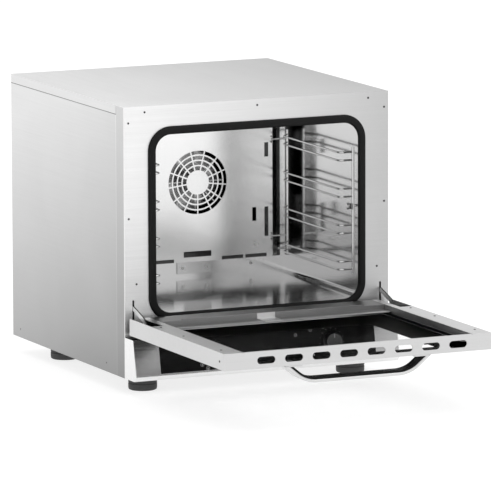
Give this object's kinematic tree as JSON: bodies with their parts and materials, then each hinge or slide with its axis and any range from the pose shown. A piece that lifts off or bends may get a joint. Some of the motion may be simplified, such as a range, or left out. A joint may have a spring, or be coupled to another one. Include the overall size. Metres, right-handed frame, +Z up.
{
  "type": "combi steamer oven",
  "caption": "Counter-top combi steamer oven with a drop-down glass door, side tray racks, rear fan baffle and a control panel below the door.",
  "frame": {"origin": "on the standing surface, midway between the open door's end and the rear fittings, on the casing's middle plane", "axes": "+X to the right seen from the front, +Y towards the back, +Z up; the door opens towards -Y"},
  "size_m": [0.59, 1.0922, 0.5865],
  "materials": {
    "casing_steel": "fine brushed",
    "cavity_steel": "mirror polished",
    "insulation_wool": "mineral wool",
    "gasket_rubber": "satin",
    "screw_steel": "plain",
    "heater_steel": "heat-darkened",
    "motor_metal": "satin",
    "shaft_steel": "ground",
    "impeller_steel": "pressed",
    "rack_wire": "polished",
    "panel_glass": "gloss",
    "board": "matte",
    "knob_metal": "turned",
    "black_plastic": "moulded",
    "copper": "drawn tube",
    "foot_rubber": "matte",
    "hinge_steel": "zinc plated",
    "door_steel": "fine brushed",
    "outer_door_glass": "black bordered",
    "clear_glass": "clear",
    "handle_metal": "satin",
    "handle_rubber": "matte"
  },
  "bodies": {
    "casing": {"base_pan": "casing_steel", "left_side_panel": "casing_steel", "right_side_panel": "casing_steel", "top_cover": "casing_steel", "back_panel": "casing_steel", "front_frame": "casing_steel", "cavity_liner": "cavity_steel", "cavity_insulation": "insulation_wool", "cavity_gasket": "gasket_rubber", "fan_baffle": "cavity_steel", "baffle_standoffs": "cavity_steel", "baffle_screws": "screw_steel", "heating_ring": "heater_steel", "fan_motor": "motor_metal", "left_rack_posts": "rack_wire", "left_rack_guides": "rack_wire", "right_rack_posts": "rack_wire", "right_rack_guides": "rack_wire", "rack_thumb_screws": "screw_steel", "temperature_probe": "shaft_steel", "frame_screws": "screw_steel", "casing_screws": "screw_steel", "fascia_housing": "casing_steel", "control_glass": "panel_glass", "control_board": "board", "knob_encoder": "motor_metal", "cooling_fan_housing": "black_plastic", "water_valve": "motor_metal", "injection_pipe": "copper", "steam_outlet": "impeller_steel", "cable_gland": "black_plastic", "front_left_foot": "foot_rubber", "front_right_foot": "foot_rubber", "rear_left_foot": "foot_rubber", "rear_right_foot": "foot_rubber", "foot_bolts": "screw_steel", "left_hinge_leaf": "hinge_steel", "right_hinge_leaf": "hinge_steel", "hinge_receivers": "hinge_steel"},
    "door": {"hinge_pins": "shaft_steel", "left_hinge_cassette": "hinge_steel", "right_hinge_cassette": "hinge_steel", "door_shell": "door_steel", "door_inner_panel": "door_steel", "outer_glass": "outer_door_glass", "inner_glass": "clear_glass", "glass_holder": "door_steel", "glass_clips": "door_steel", "handle_bar": "handle_metal", "handle_liner": "handle_rubber", "handle_screws": "screw_steel", "door_screws": "screw_steel"},
    "left_arm": {"left_hinge_arm": "hinge_steel"},
    "right_arm": {"right_hinge_arm": "hinge_steel"},
    "fan": {"motor_shaft": "shaft_steel", "fan_impeller": "impeller_steel"},
    "knob": {"control_knob": "knob_metal"},
    "vent_rotor": {"cooling_fan_rotor": "black_plastic"}
  },
  "joints": [
    {"name": "door_hinge", "type": "hinge", "parent": "casing", "child": "door", "pos_m": [0, -0.09915, 0.13755], "axis": [-1, 0, 0], "range_deg": [0, 90]},
    {"name": "left_arm_pivot", "type": "hinge", "parent": "door", "child": "left_arm", "pos_m": [-0.2765, -0.1409, 0.145], "axis": [-1, 0, 0], "range_deg": [-64, 0]},
    {"name": "right_arm_pivot", "type": "hinge", "parent": "door", "child": "right_arm", "pos_m": [0.2765, -0.1409, 0.145], "axis": [-1, 0, 0], "range_deg": [-64, 0]},
    {"name": "fan_spin", "type": "hinge", "parent": "casing", "child": "fan", "pos_m": [0.0178, 0.3091, 0.3704], "axis": [0, 1, 0], "continuous": true},
    {"name": "knob_turn", "type": "hinge", "parent": "casing", "child": "knob", "pos_m": [0.144, -0.11771, 0.08457], "axis": [0, -0.9799, 0.1997], "continuous": true},
    {"name": "vent_rotor_spin", "type": "hinge", "parent": "casing", "child": "vent_rotor", "pos_m": [0.15, 0.4991, 0.13], "axis": [0, 1, 0], "continuous": true}
  ],
  "couplings": [
    {"joint": "left_arm_pivot", "follows": "door_hinge", "ratio": -0.711},
    {"joint": "right_arm_pivot", "follows": "door_hinge", "ratio": -0.711}
  ]
}
